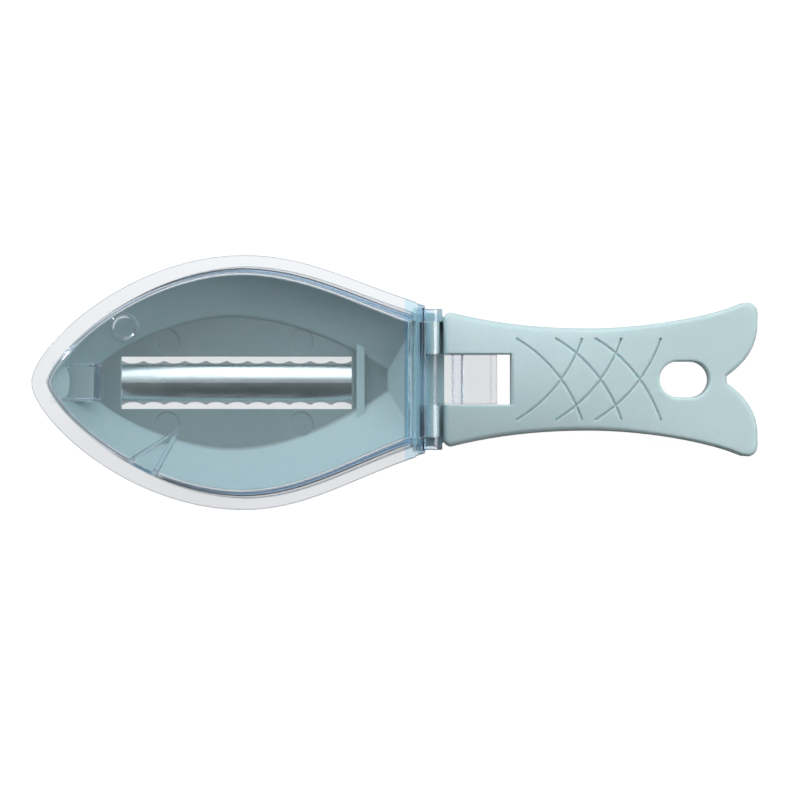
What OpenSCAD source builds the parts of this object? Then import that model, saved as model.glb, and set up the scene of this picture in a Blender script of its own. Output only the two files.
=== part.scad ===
/* [Overall] */
// Length from the nose to the hinge axis
bowl_l = 110; // [100:1:125]
// Length from the hinge axis to the tips of the tail
handle_l = 90; // [82:1:105]
// Width of the bowl at its widest
bowl_w = 70; // [64:1:78]
// Distance from the nose to the widest point
widest_at = 58.4; // [52:0.2:64]
// Narrowest width of the handle
waist_w = 28.2; // [25:0.2:32]
// Distance from the hinge axis to the narrowest point
waist_at = 43.4; // [38:0.2:48]
// How far the handle's centre line sits above the bowl's in plan
handle_shift = 0.85; // [0:0.05:2]

/* [Bowl] */
// Height of the rim above the flat underside
bowl_h = 14.5; // [13.5:0.1:18]
// Wall thickness of the bowl
bowl_wall = 1.9; // [1.5:0.1:2.6]
// Thickness of the bowl's floor
floor_t = 2.3; // [2:0.1:3]
// Width of the flat floor
floor_w = 36.4; // [32:0.2:42]
// Distance from the nose to the front tip of the floor
floor_front = 14.5; // [11:0.1:18]
// Distance from the hinge axis to the rear tip of the floor
floor_rear = 12.4; // [10:0.1:18]
// Width of the low ridge across the floor behind the window
ridge_w = 2.2; // [1.5:0.1:3.5]
// Height of that ridge
ridge_h = 1.3; // [0.6:0.1:2.5]
// Length of that ridge
ridge_l = 21.2; // [16:0.1:22]
// Distance from the window to that ridge
ridge_gap = 1.4; // [1:0.1:3]
// Radius of the four round marks in the floor
mark_r = 3.4; // [2.5:0.1:4]
// Depth of the round marks
mark_depth = 0.2; // [0.1:0.05:0.5]

/* [Blade] */
// Width of the arched strip
blade_w = 12.2; // [11:0.1:13.6]
// Height of the arch from tooth tip to crest
blade_h = 4.3; // [4:0.1:4.6]
// Thickness of the sheet
blade_t = 0.7; // [0.5:0.05:1]
// How far the teeth stand out below the bowl
tooth_out = 2.5; // [1.5:0.1:3]
// Distance from one tooth to the next
tooth_pitch = 5.85; // [4:0.05:8]
// Width of the teeth's tips
tooth_tip = 0.7; // [0.4:0.1:1.2]
// Radius of the blade's two arcs
blade_r = 11; // [9.5:0.5:13]
// Lean of the blade's legs
leg_out = 1; // [0.6:0.1:1.2]
// Height of the teeth
tooth_h = 1.7; // [1:0.1:2.2]
// Length of strip held in the floor at each end
blade_hold = 1.6; // [1:0.1:2.5]
// Clearance around the held ends
blade_clear = 0.05; // [0.02:0.01:0.2]

/* [Window] */
// Length of the window in the floor
window_l = 64.3; // [56:0.1:68]
// Width of the window
window_w = 14.6; // [14:0.1:17]
// Distance from the nose to the window
window_at = 23.5; // [21:0.1:28]

/* [Lid] */
// Height of the lid above the rim
lid_h = 15.5; // [13:0.5:19]
// Wall thickness of the lid
lid_wall = 1.6; // [1.2:0.1:2.2]
// Gap between the shut lid and the rim it rests on
seat_gap = 0.15; // [0.1:0.05:0.3]
// Width of the brim that stands out beyond the bowl's rim
brim_w = 3.3; // [2:0.1:4]
// Further width of the brim at the nose
brim_nose = 1.7; // [0:0.1:2.5]
// Thickness of the brim
brim_t = 1.5; // [1.2:0.1:2]
// Lean of the side walls, from the brim to the shoulder
lid_lean = 1; // [0.6:0.1:2]
// Radius of the shoulder
shoulder_r = 1.8; // [1:0.1:2.2]
// Outer radius of the ring that marks the eye
eye_r = 3.4; // [2.6:0.1:4.2]
// Half width of the eye's ring
eye_bead = 0.7; // [0.5:0.05:1]
// Rise of the eye's ring above the lid
eye_rise = 0.4; // [0.3:0.05:0.6]
// Distance from the nose to the eye
eye_at = 26.9; // [24:0.1:30]
// Distance of the eye from the middle
eye_off = 14.7; // [12:0.1:16]
// Depth of the mouth at the wall
mouth_h = 3.2; // [2:0.1:4.5]
// Width of the mouth at the wall
mouth_w = 5.9; // [4:0.1:8]
// Depth of the bevel along the mouth's edges
mouth_bevel = 0.3; // [0.2:0.05:0.4]
// Length of the mouth
mouth_l = 13.6; // [10:0.1:16]
// Distance from the nose to the inner end of the mouth
mouth_at = 40.3; // [36:0.1:44]
// Distance of that end from the middle
mouth_off = 14.15; // [12:0.05:16]
// Direction of the mouth, in degrees off the way to the tail
mouth_turn = 133; // [120:1:145]

/* [Hinge] */
// Radius of the knuckles
knuckle_r = 1.5; // [1.4:0.05:1.8]
// Radius of the trunnions
pin_r = 0.85; // [0.7:0.05:1]
// Radial clearance in the bores
pin_clear = 0.06; // [0.02:0.01:0.1]
// Length of each trunnion in its bore
pin_l = 3.6; // [2.5:0.1:5]
// Half the distance between the outer faces of the knuckles
knuckle_y = 15.8; // [14.6:0.1:17]
// Outer radius of the ears and of the cover over the knuckles
ear_r = 3; // [2.8:0.1:3.2]
// Thickness of each ear
ear_t = 3.4; // [2.4:0.1:3.6]
// Side clearance of the hinge
side_clear = 0.15; // [0.1:0.05:0.4]
// Depth of the bridge between bowl and handle below the axis
bridge_drop = 8; // [7.5:0.1:9]
// Thickness of the bridge
bridge_t = 2; // [1.5:0.1:3]
// Height of the low wall across the lid in front of the hinge
bar_h = 5; // [3:0.1:5]
// Thickness of that wall
bar_t = 2; // [1.6:0.1:2]
// Height of the posts at its ends
post_h = 9; // [6:0.5:11]
// Width of the posts
post_w = 3.5; // [2.5:0.1:4]

/* [Tab] */
// Length of the press tab behind the axis
tab_l = 18; // [15:0.1:20]
// Width of the press tab
tab_w = 13.6; // [10:0.1:14]
// Thickness of the press tab
tab_t = 1.6; // [1.2:0.1:2]
// Distance from the axis to the rib under the tab
rib_at = 6; // [5:0.1:6.5]
// Width of that rib
rib_w = 2.2; // [1.2:0.1:2.4]
// Depth of that rib
rib_h = 2; // [1:0.1:2.4]

/* [Catch] */
// Distance from the nose to the catch plate under the lid
catch_at = 19.1; // [17:0.1:21]
// Width of the catch
catch_w = 10.4; // [8:0.1:12]
// Thickness of its plates
catch_t = 0.9; // [0.7:0.1:1.4]
// How far the catch reaches below the rim
catch_drop = 7; // [6:0.1:8]
// Thickness of the shelf in the bowl's nose
shelf_t = 1.4; // [1:0.1:2]
// Length of the rounded boss on that shelf
boss_l = 4.4; // [3:0.1:5]
// Width of the boss
boss_w = 9.6; // [7:0.1:10]
// Height of the boss
boss_h = 2; // [1:0.1:3]
// Distance from the nose to the middle of the boss
boss_at = 8.2; // [7.8:0.1:9]

/* [Handle] */
// Height of the handle's top above the hinge axis
handle_up = 3; // [3:0.1:3.4]
// Thickness of the handle at its tail
tail_t = 7.5; // [6:0.1:9]
// Width across the tail
tail_w = 42.6; // [38:0.2:46]
// Depth of the notch in the tail
notch_l = 8.8; // [6:0.1:11]
// Radius of the edges
edge_r = 1.5; // [0.8:0.1:1.8]
// Drop of the crowned top from its middle to its edges, at the front
crown = 2.3; // [1.5:0.1:2.6]
// Wall thickness of the handle
handle_wall = 2.2; // [1.8:0.1:2.6]
// Length of the slot behind the hinge axis
slot_end = 21.9; // [21:0.1:23.5]
// Width of the slot
slot_w = 13.9; // [13.7:0.1:15]
// Radius of the slot's upper edges
slot_flare = 0.6; // [0.3:0.1:0.8]
// Length of the hanging hole
hang_l = 13.8; // [10:0.1:15]
// Width of the hanging hole
hang_w = 9.9; // [8:0.1:11]
// Radius of the hole's upper edges
hang_flare = 0.8; // [0.4:0.1:1.2]
// Distance from the tail tips to the middle of the hanging hole
hang_at = 20.5; // [19:0.1:23]

/* [Grip grooves] */
// Number of crossings
groove_n = 3; // [1:1:3]
// Distance from one crossing to the next
groove_pitch = 10.8; // [9:0.1:11]
// Distance from the hinge axis to the first crossing
groove_at = 35.5; // [35:0.1:37]
// Radius of the arcs
groove_r = 42; // [36:1:60]
// Reach of the grooves to each side
groove_reach = 11.3; // [8:0.1:11.5]
// Lean of the grooves where they cross
groove_lean = 36; // [30:1:40]
// Width of the grooves
groove_w = 1; // [0.6:0.1:1.4]
// Depth of the grooves
groove_depth = 0.7; // [0.4:0.1:1]

/* [Hidden] */
nose_n = 22;
flank_n = 20;
back_n = 8;
wall_n = 8;
body_colour = [0.74, 0.83, 0.85];
lid_colour = [0.80, 0.86, 0.93, 0.45];
blade_colour = [0.80, 0.82, 0.83];
eps = 0.01;

nose_x = -(bowl_l + handle_l) / 2;
hinge_x = nose_x + bowl_l;
tail_x = hinge_x + handle_l;
wide_x = nose_x + widest_at;
waist_x = hinge_x + waist_at;
floor_z = tooth_out + floor_t;
rim_z = tooth_out + bowl_h;
axis_z = rim_z - knuckle_r;
lid_z = rim_z + lid_h;
handle_z = axis_z + handle_up;
bridge_z = axis_z - bridge_drop;
bridge_base = bridge_z - bridge_t;

ear_gap = 0.3;
bowl_back = hinge_x - ear_r - ear_gap;
lid_back = bowl_back - 1;
lid_base = rim_z + seat_gap;
handle_front = hinge_x + ear_r + ear_gap;
ear_y = knuckle_y + side_clear;
cover_in = knuckle_r + 0.3;
span_w = (bowl_w - floor_w) / 2;
function inset(d) = d / span_w;

function bez(a, b, c, d, t) =
    a * pow(1 - t, 3) + 3 * b * pow(1 - t, 2) * t + 3 * c * (1 - t) * t * t + d * pow(t, 3);
function ease(t) = let (s = min(1, max(0, t))) s * s * (3 - 2 * s);
function last(v) = v[len(v) - 1];

// Plan outline: a blunt nose, the widest point, then one long flank down to the waist
flank_in = 0.298 * (waist_x - wide_x);
flank_out = 0.554 * (waist_x - wide_x);
nose_reach = 32;
nose_blunt = 9.5;
function nose_pt(t) = [
    bez(nose_x, nose_x, wide_x - nose_reach, wide_x, t),
    bez(0, nose_blunt, bowl_w / 2, bowl_w / 2, t)];
function flank_pt(t) = [
    bez(wide_x, wide_x + flank_in, waist_x - flank_out, waist_x, t),
    bez(bowl_w, bowl_w, waist_w, waist_w, t) / 2];
function flank_t(x, lo = 0, hi = 1, n = 22) =
    let (m = (lo + hi) / 2)
    n == 0 ? m : flank_pt(m)[0] < x ? flank_t(x, m, hi, n - 1) : flank_t(x, lo, m, n - 1);
function flank_w(x) = flank_pt(flank_t(x))[1];
function mid_y(x) = handle_shift * ease((x - wide_x) / (hinge_x - wide_x));

// The upper half of a loop, from the nose back to the cut at x_end
function rim_half(x_end) = concat(
    [for (i = [0:nose_n]) nose_pt(i / nose_n)],
    [for (i = [1:flank_n]) let (x = wide_x + (x_end - wide_x) * i / flank_n) [x, flank_w(x)]]);
// The same half moved in by the width of the brim: the outside of the bowl's rim
function brim_at(x) = brim_w + brim_nose * max(0, wide_x - x) / widest_at;
function inner_half(x_end) = let (h = rim_half(x_end))
    [for (i = [0:len(h) - 1])
        let (v = i == 0 ? [0, 1] : i < nose_n ? h[i + 1] - h[i - 1] : [1, 0])
        h[i] + brim_at(h[i][0]) * [v[1], -v[0]] / norm(v)];
// The upper half of the flat floor, point for point like rim_half
lens_x = wide_x - 4.5;
lens_tip = [hinge_x - floor_rear, 2.2];
lens_nose = [15, 7.5];
lens_tail = [17, 10, 9.5];
function lens_half() = concat(
    [for (i = [0:nose_n]) let (t = i / nose_n, a = nose_x + floor_front)
        [bez(a, a, lens_x - lens_nose[0], lens_x, t), bez(0, lens_nose[1], floor_w / 2, floor_w / 2, t)]],
    [for (i = [1:flank_n]) let (t = i / flank_n)
        [bez(lens_x, lens_x + lens_tail[0], lens_tip[0] - lens_tail[1], lens_tip[0], t),
            bez(floor_w / 2, floor_w / 2, lens_tail[2], lens_tip[1], t)]]);

// Closed loop from an upper half: over the top, across the back, and home along the other side
function close_loop(half) = let (n = len(half), e = last(half), x = e[0])
    concat(
        [for (p = half) [p[0], mid_y(p[0]) + p[1]]],
        [for (i = [1:back_n - 1]) [x, mid_y(x) + e[1] * (1 - 2 * i / back_n)]],
        [for (i = [n - 1:-1:1]) [half[i][0], mid_y(half[i][0]) - half[i][1]]]);
// A loop f of the way from the rim to the floor, at height z
function ring(f, z, x_end) = let (a = close_loop(inner_half(x_end)), b = close_loop(lens_half()))
    [for (i = [0:len(a) - 1]) let (p = a[i] * (1 - f) + b[i] * f) [p[0], p[1], z]];

// Skin through a stack of rings, closed at both ends
module loft(rings) {
    n = len(rings[0]);
    m = len(rings);
    polyhedron(
        points = [for (r = rings) each r],
        faces = concat(
            [[for (i = [n - 1:-1:0]) i]],
            [[for (i = [0:n - 1]) (m - 1) * n + i]],
            [for (k = [0:m - 2]) for (i = [0:n - 1]) let (j = (i + 1) % n)
                each [[k * n + i, k * n + j, k * n + n + j], [k * n + i, k * n + n + j, k * n + n + i]]]),
        convexity = 6);
}

// Bowl wall: steep at the rim, then sweeping in to meet the floor at a clear angle
function sweep_f(s) = 2 * 0.30 * s * (1 - s) + s * s;
function sweep_z(s) = 2 * 0.62 * s * (1 - s) + s * s;
// Outside the wall stays upright towards the hinge, so that it runs on into the handle
upright_x = wide_x + 14;
function outer_ring(s) = let (
    a = close_loop(inner_half(bowl_back)), b = close_loop(lens_half()),
    under_f = 1 - inset(bowl_wall * 0.35))
    [for (i = [0:len(a) - 1]) let (
        back = ease((a[i][0] - upright_x) / (bowl_back - upright_x)),
        f = under_f * (sweep_f(s) * (1 - back) + pow(s, 5) * back),
        q = a[i] * (1 - f) + b[i] * f)
        [q[0], q[1], rim_z - bowl_h * sweep_z(s)]];
module bowl_outside() {
    loft([for (i = [wall_n:-1:0]) outer_ring(i / wall_n)]);
}
module bowl_cavity() {
    lip_f = inset(bowl_wall);
    loft(concat(
        [for (i = [wall_n:-1:0]) let (s = i / wall_n)
            ring(lip_f + (1 - lip_f) * sweep_f(s), rim_z - (bowl_h - floor_t) * sweep_z(s), bowl_back)],
        [ring(lip_f, rim_z + 1, bowl_back)]));
}

module floor_ridge() {
    x = nose_x + window_at + window_l + ridge_gap;
    translate([x, mid_y(x) - ridge_l / 2, floor_z - eps]) cube([ridge_w, ridge_l, ridge_h]);
}

// Round marks of the mould's pins, two on each side of the window
mark_front = 36.4;
mark_rear = 73.7;
mark_off = 11.5;
module floor_marks() {
    for (x = [mark_front, mark_rear]) for (s = [-1, 1])
        translate([nose_x + x, s * mark_off, floor_z - mark_depth])
            cylinder(r = mark_r, h = 1, $fn = 48);
}

// Section of the blade: two arcs that meet in a slight crest, and a leaning leg at each side
window_x = nose_x + window_at;
window_mid = window_x + window_l / 2;
arc_n = 10;
crest_off = 1;
crest_z = blade_h - sqrt(pow(blade_r, 2) - pow(crest_off, 2));
leg_a = asin((blade_w / 2 - leg_out + crest_off) / blade_r);
leg_z = crest_z + blade_r * cos(leg_a);
function blade_side(t, low) = let (r = blade_r - t, a0 = asin(crest_off / r))
    concat([for (i = [0:arc_n]) let (a = a0 + (leg_a - a0) * i / arc_n)
            [r * sin(a) - crest_off, crest_z + r * cos(a)]],
        [[blade_w / 2 - t * norm([leg_out, leg_z]) / leg_z - low * leg_out / leg_z, low]]);
module blade_run(x, l, t0, t1, low) {
    over = blade_side(t0, low);
    under = blade_side(t1, low);
    n = arc_n + 1;
    translate([x, 0, 0]) rotate([90, 0, 90]) linear_extrude(l) polygon(concat(
        [for (i = [n:-1:0]) over[i]], [for (i = [1:n]) [-over[i][0], over[i][1]]],
        [for (i = [n:-1:0]) [-under[i][0], under[i][1]]], [for (i = [1:n]) under[i]]));
}

module blade_slots() {
    hold = blade_hold + blade_clear;
    blade_run(window_x - hold, window_l + 2 * hold, -blade_clear, blade_t + blade_clear, -1);
}

module window_cut() {
    translate([window_x, -window_w / 2, -1]) cube([window_l, window_w, floor_z + 2]);
}

// Shelf across the bowl's nose, behind which the catch of the lid snaps, with a rounded boss on it
bead_t = 0.9;
shelf_z = rim_z - catch_drop + bead_t + 0.3;
shelf_x = nose_x + catch_at - catch_t - 1.6;
module nose_shelf() {
    x = nose_x + brim_at(nose_x) + 1 + (rim_z - shelf_z) * 0.45;
    translate([x, -catch_w / 2, shelf_z]) cube([shelf_x - x, catch_w, shelf_t]);
    translate([nose_x + boss_at, 0, rim_z - boss_h - 0.3]) scale([boss_l / boss_w, 1, 1])
        cylinder(d = boss_w, h = boss_h, $fn = 48);
}

// Plan of the stretch between two stations, following the outline less a margin
module between(x0, x1, margin, y_in = 0) {
    n = 4;
    xs = [for (i = [0:n]) x0 + (x1 - x0) * i / n];
    for (s = y_in > 0 ? [-1, 1] : [1])
        polygon(concat(
            [for (x = xs) [x, mid_y(x) + s * (flank_w(x) - margin)]],
            [for (i = [n:-1:0]) let (x = xs[i])
                [x, y_in > 0 ? mid_y(x) + s * y_in : mid_y(x) - flank_w(x) + margin]]));
}

// Bridge under the hinge that joins bowl and handle: a plate with cheeks at its sides
relief = 0.4;
cheek_in = 1.6;
module bridge() {
    x0 = bowl_back - 2;
    x1 = handle_front + 1.6;
    cheek_z = axis_z - ear_r - ear_gap;
    translate([0, 0, bridge_base]) linear_extrude(bridge_t) between(x0, x1, cheek_in);
    translate([0, 0, bridge_base]) linear_extrude(cheek_z - bridge_base)
        between(x0, x1, cheek_in, ear_y);
}

module knuckles() {
    inner = slot_w / 2;
    for (s = [-1, 1]) translate([0, handle_shift, 0]) mirror([0, s < 0 ? 1 : 0, 0]) {
        translate([hinge_x - knuckle_r, inner, bridge_z - eps])
            cube([2 * knuckle_r, knuckle_y - inner, axis_z - bridge_z + eps]);
        translate([hinge_x, inner, axis_z]) rotate([-90, 0, 0])
            cylinder(r = knuckle_r, h = knuckle_y - inner, $fn = 64);
    }
}

module hinge_bores() {
    deep = pin_l + 0.3;
    for (s = [-1, 1]) translate([0, handle_shift, 0]) mirror([0, s < 0 ? 1 : 0, 0])
        translate([hinge_x, knuckle_y - deep, axis_z]) rotate([-90, 0, 0])
            cylinder(r = pin_r + pin_clear, h = deep + 1, $fn = 48);
}

// Handle: the flank runs on to the waist, then flares to a forked tail
side_n = 22;
front_n = 8;
front_r = 2;
tail_r = 3;
tail_mid = [tail_x - 0.3 - tail_r, tail_w / 2 - tail_r];
crown_end = hinge_x + handle_l - notch_l - 5;
flare_x = tail_mid[0] - 1.2;
side_step = (flare_x - handle_front - front_r) / side_n;
function flare_pt(t) = [
    bez(waist_x, waist_x + 14.5, flare_x - 9, flare_x, t),
    bez(waist_w / 2, waist_w / 2, tail_mid[1] + tail_r - 4.2, tail_mid[1] + tail_r - 0.2, t)];
function half_w(x) = x < waist_x ? flank_w(x) : flare_pt(flare_t(x))[1];
function flare_t(x, lo = 0, hi = 1, n = 22) =
    let (m = (lo + hi) / 2)
    n == 0 ? m : flare_pt(m)[0] < x ? flare_t(x, m, hi, n - 1) : flare_t(x, lo, m, n - 1);

// Upper half of the handle's plan: front corner, side, tail corner, and the curve into the notch
front_y = half_w(handle_front + front_r) - front_r;
front_corner = 3;
function handle_half() = concat(
    [for (a = [180:-90 / (front_corner + 1):91])
        [handle_front + front_r + front_r * cos(a), front_y + front_r * sin(a)]],
    [for (i = [0:side_n]) let (x = handle_front + front_r + side_step * i) [x, half_w(x)]],
    [for (a = [75:-25:0]) tail_mid + tail_r * [cos(a), sin(a)]],
    [for (i = [1:8]) let (t = i / 8)
        [bez(tail_mid[0] + tail_r, tail_x, tail_x - notch_l + 4.5, tail_x - notch_l, t),
            bez(tail_mid[1] - 2, 8.5, 4.2, 0.9, t)]]);
function handle_loop() = let (h = handle_half(), n = len(h))
    concat(
        [for (i = [0:front_n]) [handle_front, front_y * (2 * i / front_n - 1)]],
        [for (i = [1:n - 1]) h[i]],
        [for (i = [n - 1:-1:1]) [h[i][0], -h[i][1]]]);

// Moves every point of a clockwise loop inward by d
function shrink(loop, d) = let (n = len(loop))
    [for (i = [0:n - 1])
        let (a = loop[(i + n - 1) % n], b = loop[i], c = loop[(i + 1) % n],
            u = (b - a) / norm(b - a), v = (c - b) / norm(c - b),
            p = [u[1] + v[1], -u[0] - v[0]], q = p / norm(p))
        b + q * d / (q * [u[1], -u[0]])];

function crown_at(x) = crown * pow(1 - ease((x - handle_front) / (crown_end - handle_front)), 0.8);
function top_at(x, y) =
    handle_z - crown_at(x) * pow(min(1, abs(y) / half_w(min(flare_x, max(x, handle_front)))), 2);
base_tilt = atan((handle_z - tail_t - bridge_base) / (tail_x - handle_front));
function top_ring(d, down) = [for (p = shrink(handle_loop(), d)) [p[0], p[1], top_at(p[0], p[1]) - down]];

// Solid handle: rings up the sides, strips across the crowned top, flat fans over the tail's tips
module handle_solid() {
    rings = concat(
        [[for (p = handle_loop()) [p[0], p[1], bridge_base]]],
        [for (a = [0:30:90]) top_ring(edge_r * (1 - cos(a)), edge_r * (1 - sin(a)))]);
    n = len(rings[0]);
    m = len(rings);
    rim = n * (m - 1);
    top = last(rings);
    tip = front_n + len(handle_half()) - 1;
    rows = len([for (i = [0:side_n]) if (i < 1.4 + (crown_end - handle_front - front_r) / side_step) i])
        + front_corner;
    inner = [for (r = [1:rows - 1]) let (p = top[front_n + r], q = top[n - r])
        [for (i = [1:front_n - 1]) let (y = q[1] + (p[1] - q[1]) * i / front_n) [p[0], y, top_at(p[0], y)]]];
    first = n * m;
    function across(r, i) = r == 0 ? rim + i
        : i == 0 ? rim + n - r
        : i == front_n ? rim + front_n + r
        : first + (r - 1) * (front_n - 1) + i - 1;
    translate([0, handle_shift, 0]) polyhedron(
        points = concat([for (r = rings) each r], [for (r = inner) each r]),
        faces = concat(
            [[for (i = [n - 1:-1:0]) i]],
            [for (k = [0:m - 2]) for (i = [0:n - 1]) let (j = (i + 1) % n)
                each [[k * n + i, k * n + j, k * n + n + j], [k * n + i, k * n + n + j, k * n + n + i]]],
            [for (r = [0:rows - 2]) for (i = [0:front_n - 1])
                each [[across(r, i), across(r, i + 1), across(r + 1, i + 1)],
                    [across(r, i), across(r + 1, i + 1), across(r + 1, i)]]],
            [for (i = [0:front_n - 1])
                [across(rows - 1, i), across(rows - 1, i + 1), across(rows, i < front_n / 2 ? 0 : front_n)]],
            [[across(rows - 1, front_n / 2), across(rows, front_n), across(rows, 0)]],
            [for (i = [front_n + rows:tip - 2]) [rim + i, rim + i + 1, rim + tip]],
            [for (i = [tip + 2:n - rows - 1]) [rim + i, rim + i + 1, rim + tip + 1]],
            [[rim + tip, rim + tip + 1, rim + n - rows], [rim + tip, rim + n - rows, rim + front_n + rows]]),
        convexity = 6);
}

// Everything below the handle's underside, which rises towards the tail
module under_handle() {
    translate([handle_front, -bowl_w, bridge_base]) rotate([0, -base_tilt, 0])
        translate([0, 0, -20]) cube([handle_l * 1.2, 2 * bowl_w, 20]);
}

// Cutter for a rounded opening whose edges flare at the top
module flared_cut(loop, flare, low) {
    translate([0, handle_shift, 0]) loft(concat(
        [[for (p = loop) [p[0], p[1], low]]],
        [for (a = [0:30:90]) [for (p = shrink(loop, -flare * (1 - cos(a))))
            [p[0], p[1], top_at(p[0], p[1]) - flare * (1 - sin(a))]]],
        [[for (p = shrink(loop, -flare)) [p[0], p[1], handle_z + 2]]]));
}

// Slot, cut right through behind the bridge and down into the bridge's top in front of that
slot_x = hinge_x + slot_end;
sill_x = handle_front + 0.4;
module slot_cut() {
    y = slot_w / 2;
    flared_cut([[handle_front - 2, -y], [handle_front - 2, y], [slot_x, y], [slot_x, -y]], slot_flare,
        bridge_z - relief);
    translate([sill_x, handle_shift - y, -1]) cube([slot_x - sill_x, 2 * y, bridge_z + 1]);
}

hang_x = tail_x - hang_at;
hang_r = hang_w / 2;
hang_in = hang_l / 2 - hang_r;
module hang_cut() {
    flared_cut(concat(
        [for (a = [270:-15:90]) [hang_x - hang_in + hang_r * cos(a), hang_r * sin(a)]],
        [for (a = [90:-15:-90]) [hang_x + hang_in + hang_r * cos(a), hang_r * sin(a)]]), hang_flare, -1);
}

// Two arcs that cross on the centre line, sunk to an even depth below the crowned top
module groove(x0, side) {
    n = 12;
    cx = x0 - groove_r * cos(groove_lean);
    cy = groove_r * sin(groove_lean);
    function spot(i, d) = let (
        y0 = -groove_reach + 2 * groove_reach * i / n,
        a = asin((y0 + cy) / (groove_r)),
        r = groove_r + d)
        [cx + r * cos(a), side * (r * sin(a) - cy)];
    rings = [for (i = [0:n]) let (
        p = spot(i, -groove_w / 2), q = spot(i, groove_w / 2), c = spot(i, 0))
        [[p[0], p[1], top_at(c[0], c[1]) + 0.5], [p[0], p[1], top_at(c[0], c[1])],
            [c[0], c[1], top_at(c[0], c[1]) - groove_depth],
            [q[0], q[1], top_at(c[0], c[1])], [q[0], q[1], top_at(c[0], c[1]) + 0.5]]];
    translate([0, handle_shift, 0]) loft(side > 0 ? rings : [for (i = [n:-1:0]) rings[i]]);
}

module grooves() {
    for (i = [0:groove_n - 1]) for (side = [-1, 1])
        groove(hinge_x + groove_at + groove_pitch * i, side);
}

// Hollow under the handle, with ribs left across it and walls round the slot and the hole
bays = 4;
rib_t = 1.6;
module handle_core() {
    full = shrink(handle_loop(), handle_wall);
    loop = [for (i = [front_n + 4:len(full) - 4]) full[i]];
    bay_l = (tail_x - handle_front) / bays;
    for (i = [0:bays - 1]) {
        x = handle_front + bay_l * i;
        roof = handle_z - crown_at(x) - handle_wall;
        translate([0, handle_shift, -1]) linear_extrude(roof + 1) difference() {
            intersection() {
                polygon(loop);
                translate([x + rib_t / 2, -bowl_w / 2]) square([bay_l - rib_t, bowl_w]);
            }
            translate([handle_front - 2, -slot_w / 2 - handle_wall])
                square([slot_x + handle_wall - handle_front + 2, slot_w + 2 * handle_wall]);
            for (s = [-1, 1]) translate([hang_x + s * hang_in, 0])
                circle(r = hang_r + handle_wall, $fn = 48);
            translate([hang_x - hang_in, -hang_r - handle_wall])
                square([2 * hang_in, 2 * (hang_r + handle_wall)]);
        }
    }
}

module body() {
    color(body_colour) difference() {
        union() {
            difference() {
                union() {
                    bowl_outside();
                    bridge();
                    difference() {
                        handle_solid();
                        under_handle();
                        handle_core();
                    }
                }
                bowl_cavity();
            }
            floor_ridge();
            nose_shelf();
            knuckles();
        }
        window_cut();
        blade_slots();
        floor_marks();
        hinge_bores();
        slot_cut();
        hang_cut();
        grooves();
    }
}

// Dome of the lid: a flat brim, walls that lean in a little, a rounded shoulder and a flat top
wall_back = lid_back - 0.8;
brim_r = 0.5;
brim_z = lid_base + brim_t;
function brim_ring(d, z) = [for (p = shrink(close_loop(rim_half(lid_back)), d)) [p[0], p[1], z]];
function lid_ring(d, z, over = 0) = ring(inset(d) + over, z, wall_back);
module lid_dome() {
    ceiling = lid_z - lid_wall;
    inner_r = max(0.3, shoulder_r - lid_wall * 0.6);
    loft(concat(
        [for (a = [90:-22.5:0]) lid_ring(lid_wall + lid_lean + inner_r * (1 - cos(a)),
            ceiling - inner_r * (1 - sin(a)))],
        [lid_ring(lid_wall, lid_base), brim_ring(0, lid_base)],
        [for (a = [0:45:90]) brim_ring(brim_r * (1 - cos(a)), brim_z - brim_r * (1 - sin(a)))],
        [lid_ring(0, brim_z)],
        [for (a = [0:22.5:90]) lid_ring(lid_lean + shoulder_r * (1 - cos(a)),
            lid_z - shoulder_r * (1 - sin(a)))]));
}

module eye_ring() {
    translate([nose_x + eye_at, eye_off, lid_z - eps]) rotate_extrude($fn = 72)
        polygon([[eye_r - eye_bead, 0], [eye_r - eye_bead / 3, eye_rise],
            [eye_r + eye_bead / 3, eye_rise], [eye_r + eye_bead, 0]]);
}

// Wedge of the mouth: no depth at its inner end, open at the wall
mouth_over = 2.5;
mouth_k = 1 + mouth_over / mouth_l;
module mouth_wedge(w, start, z0, z1, depth) {
    l = mouth_l + mouth_over;
    translate([nose_x + mouth_at, -mouth_off, lid_z]) rotate([0, 0, -mouth_turn])
        polyhedron(
            points = [[start, 0, z0], [l, -w, -depth], [l, w, -depth], [start, 0, z1], [l, -w, z1], [l, w, z1]],
            faces = [[0, 1, 2], [5, 4, 3], [0, 3, 4, 1], [1, 4, 5, 2], [2, 5, 3, 0]]);
}
module mouth_cut() {
    w = mouth_w / 2 * mouth_k;
    l = mouth_l + mouth_over;
    a = atan(w / l);
    c = mouth_bevel;
    mouth_wedge(w, 0, 0, 1, mouth_h * mouth_k);
    translate([nose_x + mouth_at, -mouth_off, lid_z]) rotate([0, 0, -mouth_turn])
        polyhedron(
            points = [[0, 0, -c], [l, -w, -c], [l, w, -c],
                [-2 * c / sin(a), 0, c], [l, -w - 2 * c / cos(a), c], [l, w + 2 * c / cos(a), c]],
            faces = [[0, 1, 2], [5, 4, 3], [0, 3, 4, 1], [1, 4, 5, 2], [2, 5, 3, 0]]);
}
module mouth_lining() {
    intersection() {
        mouth_wedge(mouth_w / 2 * mouth_k + lid_wall, -2 * lid_wall, -lid_wall, -0.1,
            mouth_h * mouth_k + lid_wall);
        lid_block();
    }
}

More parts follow.
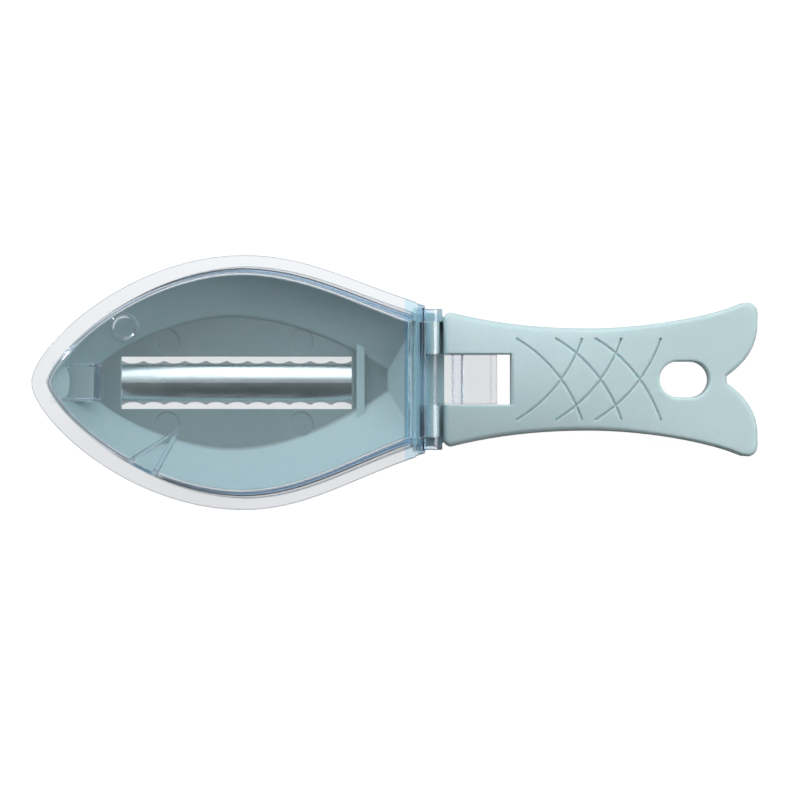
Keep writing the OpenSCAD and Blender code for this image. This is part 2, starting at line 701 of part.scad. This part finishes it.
// Flange, low bar with posts at its ends, ears and cover behind the dome
bar_x = lid_back + 0.5;
module lid_rear() {
    translate([0, 0, lid_base]) linear_extrude(axis_z + ear_r - lid_base)
        between(lid_back - 2 * lid_wall, bar_x + bar_t, 0.3);
    translate([bar_x, mid_y(bar_x) - flank_w(bar_x) + 1, lid_base])
        cube([bar_t, 2 * flank_w(bar_x) - 2, bar_h]);
    translate([0, handle_shift, 0]) {
        for (s = [-1, 1]) translate([bar_x, s * (ear_y + post_w / 2) - post_w / 2, lid_base])
            cube([bar_t, post_w, post_h]);
        difference() {
            translate([hinge_x, -ear_y, axis_z]) rotate([-90, 0, 0])
                cylinder(r = ear_r, h = 2 * ear_y, $fn = 96);
            translate([hinge_x, -ear_y - 1, axis_z]) rotate([-90, 0, 0])
                cylinder(r = cover_in, h = 2 * ear_y + 2, $fn = 72);
            translate([hinge_x - 2 * ear_r, -ear_y - 1, axis_z - 2 * ear_r])
                cube([4 * ear_r, 2 * ear_y + 2, 2 * ear_r + knuckle_r]);
            translate([hinge_x + ear_r * cos(45), -ear_y - 1, axis_z])
                cube([ear_r, 2 * ear_y + 2, ear_r + 1]);
        }
        for (s = [-1, 1]) mirror([0, s < 0 ? 1 : 0, 0]) {
            translate([hinge_x, ear_y, axis_z]) rotate([-90, 0, 0])
                cylinder(r = ear_r, h = ear_t, $fn = 96);
            translate([hinge_x, ear_y - pin_l, axis_z]) rotate([-90, 0, 0])
                cylinder(r = pin_r, h = pin_l + 1, $fn = 48);
        }
    }
}

// Side profile of the tab: plate, rib with filleted roots, and a thinner tip
tab_root = 0.9;
tip_l = 1.6;
tip_drop = 0.4;
module press_tab() {
    high = axis_z + ear_r - 0.2;
    low = high - tab_t;
    x0 = hinge_x + 1.2;
    x1 = hinge_x + tab_l;
    rib_x = hinge_x + rib_at;
    r = tab_root;
    translate([0, handle_shift + tab_w / 2, 0]) rotate([90, 0, 0]) linear_extrude(tab_w)
        polygon(concat(
            [[x0, low], [x0, high]],
            [[x1 - tip_l - 0.2, high], [x1 - tip_l, high - tip_drop], [x1, high - tip_drop], [x1, low]],
            [for (a = [90:-30:0]) [rib_x + rib_w + r - r * sin(90 - a), low - r + r * cos(90 - a)]],
            [[rib_x + rib_w, low - rib_h], [rib_x, low - rib_h]],
            [for (a = [0:30:90]) [rib_x - r + r * cos(a), low - r + r * sin(a)]]));
}

// Catch under the lid's nose: two arms, a plate across them and a snap bead
arm_h = 3;
module lid_catch() {
    x0 = nose_x + brim_at(nose_x) + lid_wall / 2;
    x1 = nose_x + catch_at;
    low = rim_z - catch_drop;
    high = lid_base + arm_h;
    for (s = [-1, 1]) translate([0, s * (catch_w / 2 - catch_t / 2) + catch_t / 2, 0])
        rotate([90, 0, 0]) linear_extrude(catch_t) polygon([
            [x0, lid_base], [x0, high], [x1, high], [x1, low], [x1 - catch_t, low],
            [x1 - catch_t, shelf_z + shelf_t], [(x0 + x1) / 2, lid_base]]);
    translate([x1 - catch_t, -catch_w / 2, low]) cube([catch_t, catch_w, high - low]);
    translate([x1 - catch_t - bead_t + 0.1, -catch_w / 2 + 2, low]) cube([bead_t, catch_w - 4, bead_t]);
}

module lid() {
    color(lid_colour) difference() {
        union() {
            lid_dome();
            mouth_lining();
            eye_ring();
            lid_rear();
            press_tab();
            lid_catch();
        }
        mouth_cut();
    }
}

// Space under the outer face of the dome
module lid_block() {
    loft([lid_ring(0, lid_base + eps, eps), lid_ring(lid_lean, lid_z - shoulder_r, eps),
        lid_ring(lid_lean + shoulder_r, lid_z - eps, eps)]);
}

// Arched strip with teeth cut along both legs
module blade() {
    n = floor((window_l - 2) / tooth_pitch / 2);
    notch = tooth_pitch / 2 - tooth_tip / 2;
    drop = (notch * notch - tooth_h * tooth_h) / (2 * tooth_h);
    color(blade_colour) difference() {
        blade_run(window_x - blade_hold, window_l + 2 * blade_hold, 0, blade_t, 0);
        for (i = [-n:n]) translate([window_mid + i * tooth_pitch, -blade_w, -drop])
            rotate([-90, 0, 0]) cylinder(r = tooth_h + drop, h = 2 * blade_w, $fn = 48);
    }
}

body();
lid();
blade();
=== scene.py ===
"""Finishes and studio for the hand fish scaler, laid out as an add-on and run as a script."""

import math

import bpy
import numpy as np
from bpy.props import FloatProperty, FloatVectorProperty, PointerProperty
from bpy.types import Operator, Panel, PropertyGroup
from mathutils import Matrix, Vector


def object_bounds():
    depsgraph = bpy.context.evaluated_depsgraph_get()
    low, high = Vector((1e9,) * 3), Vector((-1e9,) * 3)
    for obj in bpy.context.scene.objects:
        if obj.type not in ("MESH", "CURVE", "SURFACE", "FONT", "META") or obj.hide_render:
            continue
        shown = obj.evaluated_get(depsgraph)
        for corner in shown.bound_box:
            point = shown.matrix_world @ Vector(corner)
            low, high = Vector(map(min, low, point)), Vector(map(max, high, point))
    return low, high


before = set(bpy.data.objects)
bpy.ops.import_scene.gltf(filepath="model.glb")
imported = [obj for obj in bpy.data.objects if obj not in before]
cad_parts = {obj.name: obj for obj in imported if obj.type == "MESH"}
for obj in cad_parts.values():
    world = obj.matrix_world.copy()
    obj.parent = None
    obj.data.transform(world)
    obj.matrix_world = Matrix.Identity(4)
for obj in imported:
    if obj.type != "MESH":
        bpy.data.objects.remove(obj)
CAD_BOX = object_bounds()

bl_info = {
    "name": "Fish Scaler",
    "version": (1, 0, 0),
    "blender": (4, 5, 0),
    "location": "3D View > Sidebar > Fish Scaler",
    "description": "Finishes the moulded body, the clear lid and the steel strip, and builds the studio",
    "category": "Object",
}

# Settings


class ScalerBodySettings(PropertyGroup):
    """Finish of the moulded bowl and handle"""
    colour: FloatVectorProperty(
        name="Colour", description="Colour of the moulded plastic", subtype="COLOR",
        size=3, min=0, max=1, default=(0.455, 0.580, 0.600))
    shade: FloatVectorProperty(
        name="Shade", description="Slightly deeper colour in the drift of the pigment", subtype="COLOR",
        size=3, min=0, max=1, default=(0.430, 0.555, 0.580))
    roughness: FloatProperty(
        name="Roughness", description="Roughness of the satin surface", subtype="FACTOR",
        min=0.05, max=1, default=0.42)
    ior: FloatProperty(
        name="Refractive index", description="Refractive index of the moulded plastic",
        min=1.3, max=1.7, default=1.49)
    milky: FloatProperty(
        name="Milkiness", description="Share of the light that scatters inside the plastic",
        subtype="FACTOR", min=0, max=1, default=0.6)
    milky_colour: FloatVectorProperty(
        name="Scatter colour", description="How far each colour travels inside the plastic",
        subtype="COLOR", size=3, min=0, max=1, default=(0.6, 1.0, 0.85))
    milky_depth: FloatProperty(
        name="Scatter depth", description="How deep the light scatters", subtype="DISTANCE",
        unit="LENGTH", min=0.0, max=0.01, default=0.0015)
    floor_top: FloatProperty(
        name="Floor top", description="Height of the bowl's floor", subtype="DISTANCE", unit="LENGTH",
        min=0.0, max=0.05, default=0.0048)
    # Painted shade: the bowl's floor keeps only this share of its colour, standing in for the shade that
    # falls into the deep bowl
    painted_floor_shade: FloatProperty(
        name="Floor tone", description="Share of its colour that the shaded floor of the bowl keeps",
        subtype="FACTOR", min=0, max=1, default=0.6)
    grain: FloatProperty(
        name="Grain", description="Size of the moulded grain", subtype="DISTANCE", unit="LENGTH",
        min=0.0001, max=0.002, default=0.0004)
    edge: FloatProperty(
        name="Edge", description="Radius of the worn edges", subtype="DISTANCE", unit="LENGTH",
        min=0.0, max=0.001, default=0.00025)


class ScalerLidSettings(PropertyGroup):
    """Finish of the clear lid"""
    ior: FloatProperty(
        name="Refractive index", description="Refractive index of the clear plastic",
        min=1.3, max=1.7, default=1.52)
    absorb: FloatVectorProperty(
        name="Tint", description="Colour that a long way through the plastic leaves", subtype="COLOR",
        size=3, min=0, max=1, default=(0.24, 0.55, 0.92))
    density: FloatProperty(
        name="Tint density", description="How strongly the tint builds up with depth",
        min=0, max=1000, default=42.0)
    polish: FloatProperty(
        name="Polish", description="Roughness of the clear surface", subtype="FACTOR",
        min=0, max=0.3, default=0.02)
    edge: FloatProperty(
        name="Edge", description="Radius of the rounded edges", subtype="DISTANCE", unit="LENGTH",
        min=0.0, max=0.001, default=0.00055)
    # Painted shade: grey on the brim's and the hinge's rounded edges, standing in for the dark lines that
    # refraction draws there
    painted_edge_shade: FloatVectorProperty(
        name="Edge colour", description="Tint of the brim's and the hinge's rounded edges", subtype="COLOR",
        size=3, min=0, max=1, default=(0.34, 0.33, 0.42))
    # Height up to which the painted edge shade reaches
    painted_edge_shade_top: FloatProperty(
        name="Edge top", description="Height up to which the rounded edges are tinted", subtype="DISTANCE",
        unit="LENGTH", min=0.0, max=0.05, default=0.019)
    # Painted shade: blue on the lid's surfaces over the hinge, standing in for the deeper blue that light's
    # long way through the thick plastic gives
    painted_hinge_shade: FloatVectorProperty(
        name="Hinge colour", description="Tint of the thick plastic over the hinge", subtype="COLOR",
        size=3, min=0, max=1, default=(0.74, 0.92, 1.0))
    # Ends, along the tool, of the painted blue shade over the hinge
    hinge_front: FloatProperty(
        name="Hinge front", description="Where the thick plastic starts along the tool",
        subtype="DISTANCE", unit="LENGTH", min=-0.1, max=0.1, default=0.0028)
    hinge_rear: FloatProperty(
        name="Hinge rear", description="Where the thick plastic ends along the tool",
        subtype="DISTANCE", unit="LENGTH", min=-0.1, max=0.1, default=0.0095)
    passed: FloatVectorProperty(
        name="Light let in", description="Share of the lamps' light that each surface lets in",
        subtype="COLOR", size=3, min=0, max=1, default=(0.86, 0.88, 0.875))


class ScalerBladeSettings(PropertyGroup):
    """Finish of the stainless strip"""
    # The steel's colour is partly its own grey and partly a painted blue-green reflection of the bowl's
    # plastic
    colour: FloatVectorProperty(
        name="Colour", description="Colour of the steel", subtype="COLOR",
        size=3, min=0, max=1, default=(0.64, 0.73, 0.745))
    roughness: FloatProperty(
        name="Roughness", description="Roughness of the steel", subtype="FACTOR",
        min=0.02, max=1, default=0.25)
    anisotropic: FloatProperty(
        name="Streak", description="How far the brushing draws out the highlights", subtype="FACTOR",
        min=0, max=1, default=0.4)
    brushing: FloatProperty(
        name="Brushing", description="Width of the brushed lines", subtype="DISTANCE", unit="LENGTH",
        min=0.00002, max=0.001, default=0.00012)


class ScalerStageSettings(PropertyGroup):
    """Floor, lamps and camera"""
    floor: FloatProperty(
        name="Floor size", description="Length of the square floor", subtype="DISTANCE", unit="LENGTH",
        min=0.5, max=20, default=6.0)
    paper: FloatProperty(
        name="Floor grey", description="How pale the floor is to the light that falls on it",
        subtype="FACTOR", min=0, max=1, default=0.20)
    seen: FloatProperty(
        name="Floor seen", description="White that the floor adds where the camera sees it",
        subtype="FACTOR", min=0, max=1, default=0.97)
    seen_through: FloatProperty(
        name="Floor through the lid", description="White that the floor adds where the lid shows it",
        subtype="FACTOR", min=0, max=1, default=0.42)
    mirrored: FloatProperty(
        name="Floor mirrored", description="White that the floor adds where the lid or the steel mirrors it",
        subtype="FACTOR", min=0, max=1, default=0.35)
    lens: FloatProperty(
        name="Lens", description="Focal length of the camera in millimetres", subtype="DISTANCE_CAMERA",
        unit="CAMERA", min=50, max=300, default=135.0)
    view_width: FloatProperty(
        name="View width", description="Width of the picture at the height of the handle's top",
        subtype="DISTANCE", unit="LENGTH", min=0.1, max=1, default=0.2199)
    centre: FloatVectorProperty(
        name="Centre", description="Point that the picture is centred on", subtype="TRANSLATION",
        unit="LENGTH", size=3, default=(0.0013, -0.0048, 0.0175))
    tilt: FloatProperty(
        name="Tilt", description="Lean of the camera off the vertical", subtype="ANGLE", unit="ROTATION",
        min=-0.3, max=0.3, default=0.0)
    back: FloatProperty(
        name="Back lamp", description="Power of the long soft box behind the object", unit="POWER",
        min=0, max=500, default=5.3)
    left: FloatProperty(
        name="Left lamp", description="Power of the soft box on the left", unit="POWER",
        min=0, max=500, default=7.5)
    right: FloatProperty(
        name="Right lamp", description="Power of the soft box on the right", unit="POWER",
        min=0, max=500, default=6.4)
    front_sky: FloatProperty(
        name="Front sky", description="Strength of the plain light from the front",
        min=0, max=2, default=0.02)
    back_sky: FloatProperty(
        name="Back sky", description="Strength of the plain light from behind", min=0, max=2, default=0.85)


# Materials

# Ends of a mask that grows over its span, and of one that dies away
RISE = (0.0, 1.0)
FALL = (1.0, 0.0)

# Heights over the bowl's floor between which its painted shade fades out
FLOOR_SHADE_FADE = (0.0002, 0.0006)

# Upward part of a surface's direction from which it starts to count as a floor that takes the painted shade,
# and from which it fully does
FACES_UP = (0.5, 0.9)

# Cosine of the turn between a rounded and a plain surface, from a full painted edge shade to none
PAINTED_EDGE_SHADE_TURN = (0.90, 0.9995)

# Height over which the painted edge shade fades out, and length over which the painted blue shade over the
# hinge does
PAINTED_EDGE_SHADE_FADE = 0.001
HINGE_FADE = 0.0003

# Rays that the bevel of an edge is averaged over
EDGE_SAMPLES = 4

# Share of the full colour in the pale specks of the pigment and in the dark lines of the brushing
SPECK_TONE = 1.04
LINE_TONE = 0.9

# How far the satin surface's roughness strays, and the times by which the polish and the steel's do
SATIN_SPREAD = (-0.03, 0.05)
POLISH_SPREAD = (0.5, 1.5)
STEEL_SPREAD = (0.8, 1.3)

WHITE = (1.0, 1.0, 1.0, 1.0)


class Recipe:
    """A material's node tree, with short calls to add, set and link its nodes"""

    def __init__(self, name):
        self.material = bpy.data.materials.new(name)
        self.material.use_nodes = True
        self.tree = self.material.node_tree
        self.tree.nodes.clear()
        self.out = self.tree.nodes.new("ShaderNodeOutputMaterial")

    def add(self, kind, options=None, **sockets):
        """Adds a node, and sets or links the sockets that are named"""
        node = self.tree.nodes.new("ShaderNode" + kind)
        for key, value in (options or {}).items():
            setattr(node, key, value)
        for key, value in sockets.items():
            self.put(node, key.replace("_", " "), value)
        return node

    def put(self, node, socket, value):
        """Sets a socket to a number or colour, or links it to a node or to another socket"""
        if isinstance(socket, int):
            target = node.inputs[socket]
        else:
            target = next(each for each in node.inputs if each.name == socket and each.enabled)
        if isinstance(value, bpy.types.NodeSocket):
            self.tree.links.new(value, target)
        elif isinstance(value, bpy.types.Node):
            self.tree.links.new(value.outputs[0], target)
        else:
            target.default_value = value

    def mix_colour(self, first, second, share, blend="MIX"):
        """The first colour, blended with a share of the second"""
        node = self.add("Mix", {"data_type": "RGBA", "blend_type": blend}, Factor=share, A=first, B=second)
        return next(each for each in node.outputs if each.enabled)

    def ramp(self, value, span, ends=RISE):
        """Turns a value's run over a span into a run between two ends, and holds it there past the span"""
        node = self.add("MapRange", {"clamp": True}, Value=value, From_Min=span[0], From_Max=span[1],
                        To_Min=ends[0], To_Max=ends[1])
        return node.outputs[0]

    def math(self, operation, first, second):
        """One step of arithmetic on two values"""
        node = self.add("Math", {"operation": operation})
        self.put(node, 0, first)
        self.put(node, 1, second)
        return node.outputs[0]

    def place(self, stretch=(1, 1, 1)):
        """The point on the piece, in its own frame, with each direction stretched"""
        node = self.add("Mapping", Vector=self.add("TexCoord").outputs["Object"], Scale=stretch)
        return node.outputs[0]

    def along(self, vector):
        """The sockets of a vector's three parts"""
        return self.add("SeparateXYZ", Vector=vector).outputs

    def noise(self, where, scale, detail, roughness=0.5):
        """Soft random pattern, with its scale in waves a metre"""
        node = self.add("TexNoise", {"noise_dimensions": "3D"}, Scale=scale, Detail=detail,
                        Roughness=roughness, Vector=where)
        return node.outputs["Fac"]

    def rounded(self, radius):
        """The surface's direction with its edges rounded"""
        return self.add("Bevel", {"samples": EDGE_SAMPLES}, Radius=radius).outputs[0]


def rgba(colour):
    """A solid colour for a node's socket"""
    return (colour[0], colour[1], colour[2], 1.0)


def toned(colour, share):
    """The colour, made deeper or paler"""
    return rgba([min(1.0, part * share) for part in colour])


def moulded_plastic(settings):
    """Satin pale blue-green plastic: slow drift of pigment, fine moulded grain, softened edges, and painted
    shade on the bowl's floor
    """
    recipe = Recipe("moulded_plastic")
    where = recipe.place()
    drift = recipe.noise(where, scale=18.0, detail=3.0)
    speck = recipe.noise(where, scale=900.0, detail=2.0, roughness=0.6)
    grain = recipe.noise(where, scale=1.0 / settings.grain, detail=2.0, roughness=0.55)
    plain = recipe.ramp(drift, span=(0.35, 0.65))
    pigment = recipe.mix_colour(rgba(settings.shade), rgba(settings.colour), plain)
    pale = recipe.ramp(speck, span=(0.45, 0.75), ends=(0.0, 0.5))
    pigment = recipe.mix_colour(pigment, toned(settings.colour, SPECK_TONE), pale)

    # Painted shade: upward faces at the height of the bowl's floor are darkened in colour
    floor_shade_heights = [settings.floor_top + height for height in FLOOR_SHADE_FADE]
    low = recipe.ramp(recipe.along(where)["Z"], floor_shade_heights, FALL)
    upward = recipe.ramp(recipe.along(recipe.add("NewGeometry").outputs["Normal"])["Z"], FACES_UP)
    painted_floor_shade_mask = recipe.math("MULTIPLY", low, upward)
    pigment = recipe.mix_colour(pigment, toned(WHITE, settings.painted_floor_shade), painted_floor_shade_mask, "MULTIPLY")

    rough = recipe.ramp(drift, span=(0.3, 0.7), ends=[settings.roughness + change for change in SATIN_SPREAD])
    soft = recipe.rounded(settings.edge)
    bump = recipe.add("Bump", Strength=0.10, Distance=0.00004, Height=grain, Normal=soft)
    plastic = recipe.add("BsdfPrincipled", Base_Color=pigment, Roughness=rough, IOR=settings.ior, Normal=bump)
    recipe.put(plastic, "Subsurface Weight", settings.milky)
    recipe.put(plastic, "Subsurface Radius", settings.milky_colour)
    recipe.put(plastic, "Subsurface Scale", settings.milky_depth)
    recipe.put(recipe.out, "Surface", plastic)
    return recipe.material


def clear_plastic(settings):
    """Polished clear plastic, faintly blue through its depth, that lets the lamps light what is inside;
    painted grey shade lies on its low rounded edges and painted blue shade over the hinge
    """
    recipe = Recipe("clear_plastic")
    where = recipe.place()
    ripple = recipe.noise(where, scale=60.0, detail=1.0)
    haze = recipe.noise(where, scale=35.0, detail=4.0, roughness=0.6)
    soft = recipe.rounded(settings.edge)
    bump = recipe.add("Bump", Strength=0.04, Distance=0.0002, Height=ripple, Normal=soft)
    rough = recipe.ramp(haze, span=(0.4, 0.7), ends=[settings.polish * times for times in POLISH_SPREAD])

    point = recipe.along(where)
    turn = recipe.add("VectorMath", {"operation": "DOT_PRODUCT"})
    recipe.put(turn, 0, soft)
    recipe.put(turn, 1, recipe.add("NewGeometry").outputs["Normal"])
    # Painted shade: grey where the rounded edges turn away from the plain faces, low on the lid
    low = recipe.ramp(point["Z"], (settings.painted_edge_shade_top, settings.painted_edge_shade_top + PAINTED_EDGE_SHADE_FADE), FALL)
    edge = recipe.math("MULTIPLY", recipe.ramp(turn.outputs["Value"], PAINTED_EDGE_SHADE_TURN, FALL), low)
    # Painted shade: blue over the hinge, between its front and its rear
    front = recipe.ramp(point["X"], (settings.hinge_front - HINGE_FADE, settings.hinge_front))
    rear = recipe.ramp(point["X"], (settings.hinge_rear, settings.hinge_rear + HINGE_FADE), FALL)
    tint = recipe.mix_colour(WHITE, rgba(settings.painted_hinge_shade), recipe.math("MULTIPLY", front, rear))
    # The painted grey edge shade goes over the painted blue
    tint = recipe.mix_colour(tint, rgba(settings.painted_edge_shade), edge)

    clear = recipe.add("BsdfPrincipled", Base_Color=tint, Roughness=rough, IOR=settings.ior, Normal=bump)
    recipe.put(clear, "Transmission Weight", 1.0)
    open_way = recipe.add("BsdfTransparent", Color=rgba(settings.passed))
    ray = recipe.add("LightPath").outputs
    surface = recipe.add("MixShader")
    recipe.put(surface, 0, recipe.math("MAXIMUM", ray["Is Shadow Ray"], ray["Is Diffuse Ray"]))
    recipe.put(surface, 1, clear)
    recipe.put(surface, 2, open_way)
    depth = recipe.add("VolumeAbsorption", Color=rgba(settings.absorb), Density=settings.density)
    recipe.put(recipe.out, "Surface", surface)
    recipe.put(recipe.out, "Volume", depth)
    return recipe.material


def brushed_steel(settings):
    """Stainless strip brushed along its length, with faint stamping marks; its blue-green cast is partly
    painted reflection of the bowl
    """
    recipe = Recipe("brushed_steel")
    drawn_out = recipe.place(stretch=(0.02, 1, 1))
    lines = recipe.noise(drawn_out, scale=1.0 / settings.brushing, detail=3.0, roughness=0.6)
    smear = recipe.noise(recipe.place(stretch=(0.3, 1, 1)), scale=90.0, detail=3.0, roughness=0.6)
    bright = recipe.ramp(lines, span=(0.35, 0.65))
    tone = recipe.mix_colour(toned(settings.colour, LINE_TONE), rgba(settings.colour), bright)
    rough = recipe.ramp(smear, span=(0.35, 0.7), ends=[settings.roughness * times for times in STEEL_SPREAD])
    bump = recipe.add("Bump", Strength=0.08, Distance=0.00002, Height=lines)
    steel = recipe.add("BsdfPrincipled", Base_Color=tone, Metallic=1.0, Roughness=rough, Normal=bump)
    recipe.put(steel, "Anisotropic", settings.anisotropic)
    recipe.put(recipe.out, "Surface", steel)
    return recipe.material


def white_floor(settings):
    """Plain pale floor that shows white where no shadow falls on it"""
    recipe = Recipe("floor_white")
    ray = recipe.add("LightPath").outputs
    direct = recipe.math("MULTIPLY", ray["Is Camera Ray"], settings.seen)
    through = recipe.math("MULTIPLY", ray["Is Transmission Ray"], settings.seen_through)
    mirrored = recipe.math("MULTIPLY", ray["Is Glossy Ray"], settings.mirrored)
    strength = recipe.math("ADD", recipe.math("ADD", direct, through), mirrored)
    surface = recipe.add("AddShader")
    recipe.put(surface, 0, recipe.add("Emission", Color=WHITE, Strength=strength))
    recipe.put(surface, 1, recipe.add("BsdfDiffuse", Color=toned(WHITE, settings.paper)))
    recipe.put(recipe.out, "Surface", surface)
    return recipe.material


# Meshes

# Degrees between two faces up to which they are shaded as one smooth surface
MOULDED_ANGLE = 28.0
CREST_ANGLE = 8.0

# Step of the grid on which a mesh's vertices are matched
SAME_PLACE = 2e-6

# Least length that a direction is divided by
LEAST_LENGTH = 1e-12


def read_field(items, field, width=1, kind=np.float64):
    """One field of every item of a mesh, as an array with a row for each"""
    values = np.empty(len(items) * width, kind)
    items.foreach_get(field, values)
    return values.reshape(-1, width) if width > 1 else values


def smooth_shading(piece, angle):
    """Gives a faceted mesh the smooth normals of its true surface, and leaves its vertices as they are"""
    mesh = piece.data
    points = read_field(mesh.vertices, "co", 3)
    corner_vertex = read_field(mesh.loops, "vertex_index", kind=np.int64)
    face_normal = read_field(mesh.polygons, "normal", 3)
    face_area = read_field(mesh.polygons, "area")
    face_corners = read_field(mesh.polygons, "loop_total", kind=np.int64)
    corner_face = np.repeat(np.arange(len(mesh.polygons)), face_corners)
    steps = np.round(points / SAME_PLACE).astype(np.int64)
    _, place_of = np.unique(steps, axis=0, return_inverse=True)
    corner_place = place_of.ravel()[corner_vertex]
    order = np.argsort(corner_place, kind="stable")
    breaks = np.flatnonzero(np.diff(corner_place[order])) + 1
    limit = math.cos(math.radians(angle))
    normals = np.zeros((len(mesh.loops), 3))
    for corners in np.split(order, breaks):
        faces = corner_face[corners]
        around = face_normal[faces]
        joined = (around @ around.T) > limit
        total = joined.astype(float) @ (around * face_area[faces][:, None])
        length = np.maximum(np.linalg.norm(total, axis=1), LEAST_LENGTH)
        normals[corners] = total / length[:, None]
    for polygon in mesh.polygons:
        polygon.use_smooth = True
    mesh.normals_split_custom_set([tuple(normal) for normal in normals])


def dress(piece, material):
    """Puts one material on the whole piece"""
    piece.data.materials.clear()
    piece.data.materials.append(material)


# Stage

# Gap that keeps the floor clear of the object's feet
FLOOR_GAP = 0.00002

# Where each lamp stands, and its width and height: the stage's settings hold its power under the same name
LAMPS = {
    "back": ((0.0, 0.82, 0.80), (1.1, 0.8)),
    "left": ((-0.85, 0.60, 0.37), (0.08, 0.75)),
    "right": ((0.75, 0.15, 0.75), (0.5, 0.5)),
}

# Point that the lamps face
AIM = (0, 0, 0.02)

# Y of a direction at which the sky starts to turn from its front to its back strength, and where it ends
SKY_TURN = (-0.45, 0.8)

# Width of the camera's sensor in millimetres, and the nearest and farthest distance it sees
SENSOR_WIDTH = 36.0
CLIP = (0.01, 20.0)


def lay_floor(settings):
    """A square floor just under the object"""
    half = settings.floor / 2
    corners = [(-half, -half, 0), (half, -half, 0), (half, half, 0), (-half, half, 0)]
    mesh = bpy.data.meshes.new("floor")
    mesh.from_pydata(corners, [], [(0, 1, 2, 3)])
    floor = bpy.data.objects.new("floor", mesh)
    floor.location.z = CAD_BOX[0].z - FLOOR_GAP
    bpy.context.scene.collection.objects.link(floor)
    dress(floor, white_floor(settings))


def spread_sky(settings):
    """Plain light from all round, stronger from behind the object than from its front"""
    world = bpy.data.worlds.new("studio")
    bpy.context.scene.world = world
    world.use_nodes = True
    tree = world.node_tree
    tree.nodes.clear()
    out = tree.nodes.new("ShaderNodeOutputWorld")
    where = tree.nodes.new("ShaderNodeTexCoord")
    split = tree.nodes.new("ShaderNodeSeparateXYZ")
    ramp = tree.nodes.new("ShaderNodeMapRange")
    glow = tree.nodes.new("ShaderNodeBackground")
    tree.links.new(where.outputs["Generated"], split.inputs[0])
    tree.links.new(split.outputs["Y"], ramp.inputs["Value"])
    numbers = (*SKY_TURN, settings.front_sky, settings.back_sky)
    for socket, number in zip(("From Min", "From Max", "To Min", "To Max"), numbers):
        ramp.inputs[socket].default_value = number
    tree.links.new(ramp.outputs[0], glow.inputs["Strength"])
    tree.links.new(glow.outputs[0], out.inputs["Surface"])


def hang_lamp(name, place, size, power):
    """A rectangular soft box that faces the object"""
    lamp = bpy.data.lights.new(name, "AREA")
    lamp.shape = "RECTANGLE"
    lamp.size, lamp.size_y = size
    lamp.energy = power
    holder = bpy.data.objects.new(name, lamp)
    holder.location = place
    holder.rotation_mode = "QUATERNION"
    holder.rotation_quaternion = (Vector(AIM) - Vector(place)).to_track_quat("-Z", "Y")
    bpy.context.scene.collection.objects.link(holder)


def set_camera(settings):
    """The camera above the object, as far away as gives the picture its width"""
    camera = bpy.data.cameras.new("camera")
    camera.lens = settings.lens
    camera.sensor_width = SENSOR_WIDTH
    camera.clip_start, camera.clip_end = CLIP
    distance = settings.view_width * settings.lens / SENSOR_WIDTH
    upward = Vector((0, -math.sin(settings.tilt), math.cos(settings.tilt)))
    holder = bpy.data.objects.new("camera", camera)
    holder.location = Vector(settings.centre) + upward * distance
    holder.rotation_euler = (settings.tilt, 0, 0)
    bpy.context.scene.collection.objects.link(holder)
    bpy.context.scene.camera = holder


# Operators


class SCALER_OT_body(Operator):
    """Finish the moulded bowl and handle"""
    bl_idname = "scaler.body"
    bl_label = "Body"

    def execute(self, context):
        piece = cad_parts["body"]
        smooth_shading(piece, MOULDED_ANGLE)
        dress(piece, moulded_plastic(context.scene.scaler_body))
        return {"FINISHED"}


class SCALER_OT_lid(Operator):
    """Finish the clear lid with its hinge, tab and catch"""
    bl_idname = "scaler.lid"
    bl_label = "Lid"

    def execute(self, context):
        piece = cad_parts["lid"]
        smooth_shading(piece, MOULDED_ANGLE)
        dress(piece, clear_plastic(context.scene.scaler_lid))
        return {"FINISHED"}


class SCALER_OT_blade(Operator):
    """Finish the toothed steel strip"""
    bl_idname = "scaler.blade"
    bl_label = "Blade"

    def execute(self, context):
        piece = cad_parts["blade"]
        smooth_shading(piece, CREST_ANGLE)
        dress(piece, brushed_steel(context.scene.scaler_blade))
        return {"FINISHED"}


class SCALER_OT_stage(Operator):
    """Build the floor, the light and the camera"""
    bl_idname = "scaler.stage"
    bl_label = "Stage"

    def execute(self, context):
        settings = context.scene.scaler_stage
        lay_floor(settings)
        spread_sky(settings)
        for name, (place, size) in LAMPS.items():
            hang_lamp(name, place, size, getattr(settings, name))
        set_camera(settings)
        context.scene.view_settings.view_transform = "Standard"
        return {"FINISHED"}


class SCALER_PT_panel(Panel):
    """The scaler's pieces and stage"""
    bl_idname = "SCALER_PT_panel"
    bl_label = "Fish Scaler"
    bl_space_type = "VIEW_3D"
    bl_region_type = "UI"
    bl_category = "Fish Scaler"

    def draw(self, context):
        for step in STEPS:
            self.layout.operator(step.bl_idname)


SETTINGS = {
    "scaler_body": ScalerBodySettings,
    "scaler_lid": ScalerLidSettings,
    "scaler_blade": ScalerBladeSettings,
    "scaler_stage": ScalerStageSettings,
}
STEPS = (SCALER_OT_body, SCALER_OT_lid, SCALER_OT_blade, SCALER_OT_stage)


def register():
    """Adds the settings, the steps and the panel"""
    for group in SETTINGS.values():
        bpy.utils.register_class(group)
    for name, group in SETTINGS.items():
        setattr(bpy.types.Scene, name, PointerProperty(type=group))
    for step in STEPS:
        bpy.utils.register_class(step)
    bpy.utils.register_class(SCALER_PT_panel)


def unregister():
    """Takes them away again, in reverse order"""
    bpy.utils.unregister_class(SCALER_PT_panel)
    for step in reversed(STEPS):
        bpy.utils.unregister_class(step)
    for name in SETTINGS:
        delattr(bpy.types.Scene, name)
    for group in reversed(tuple(SETTINGS.values())):
        bpy.utils.unregister_class(group)


def main():
    """Registers the add-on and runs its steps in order"""
    register()
    for step in STEPS:
        group, name = step.bl_idname.split(".")
        getattr(getattr(bpy.ops, group), name)()


if __name__ == "__main__":
    main()
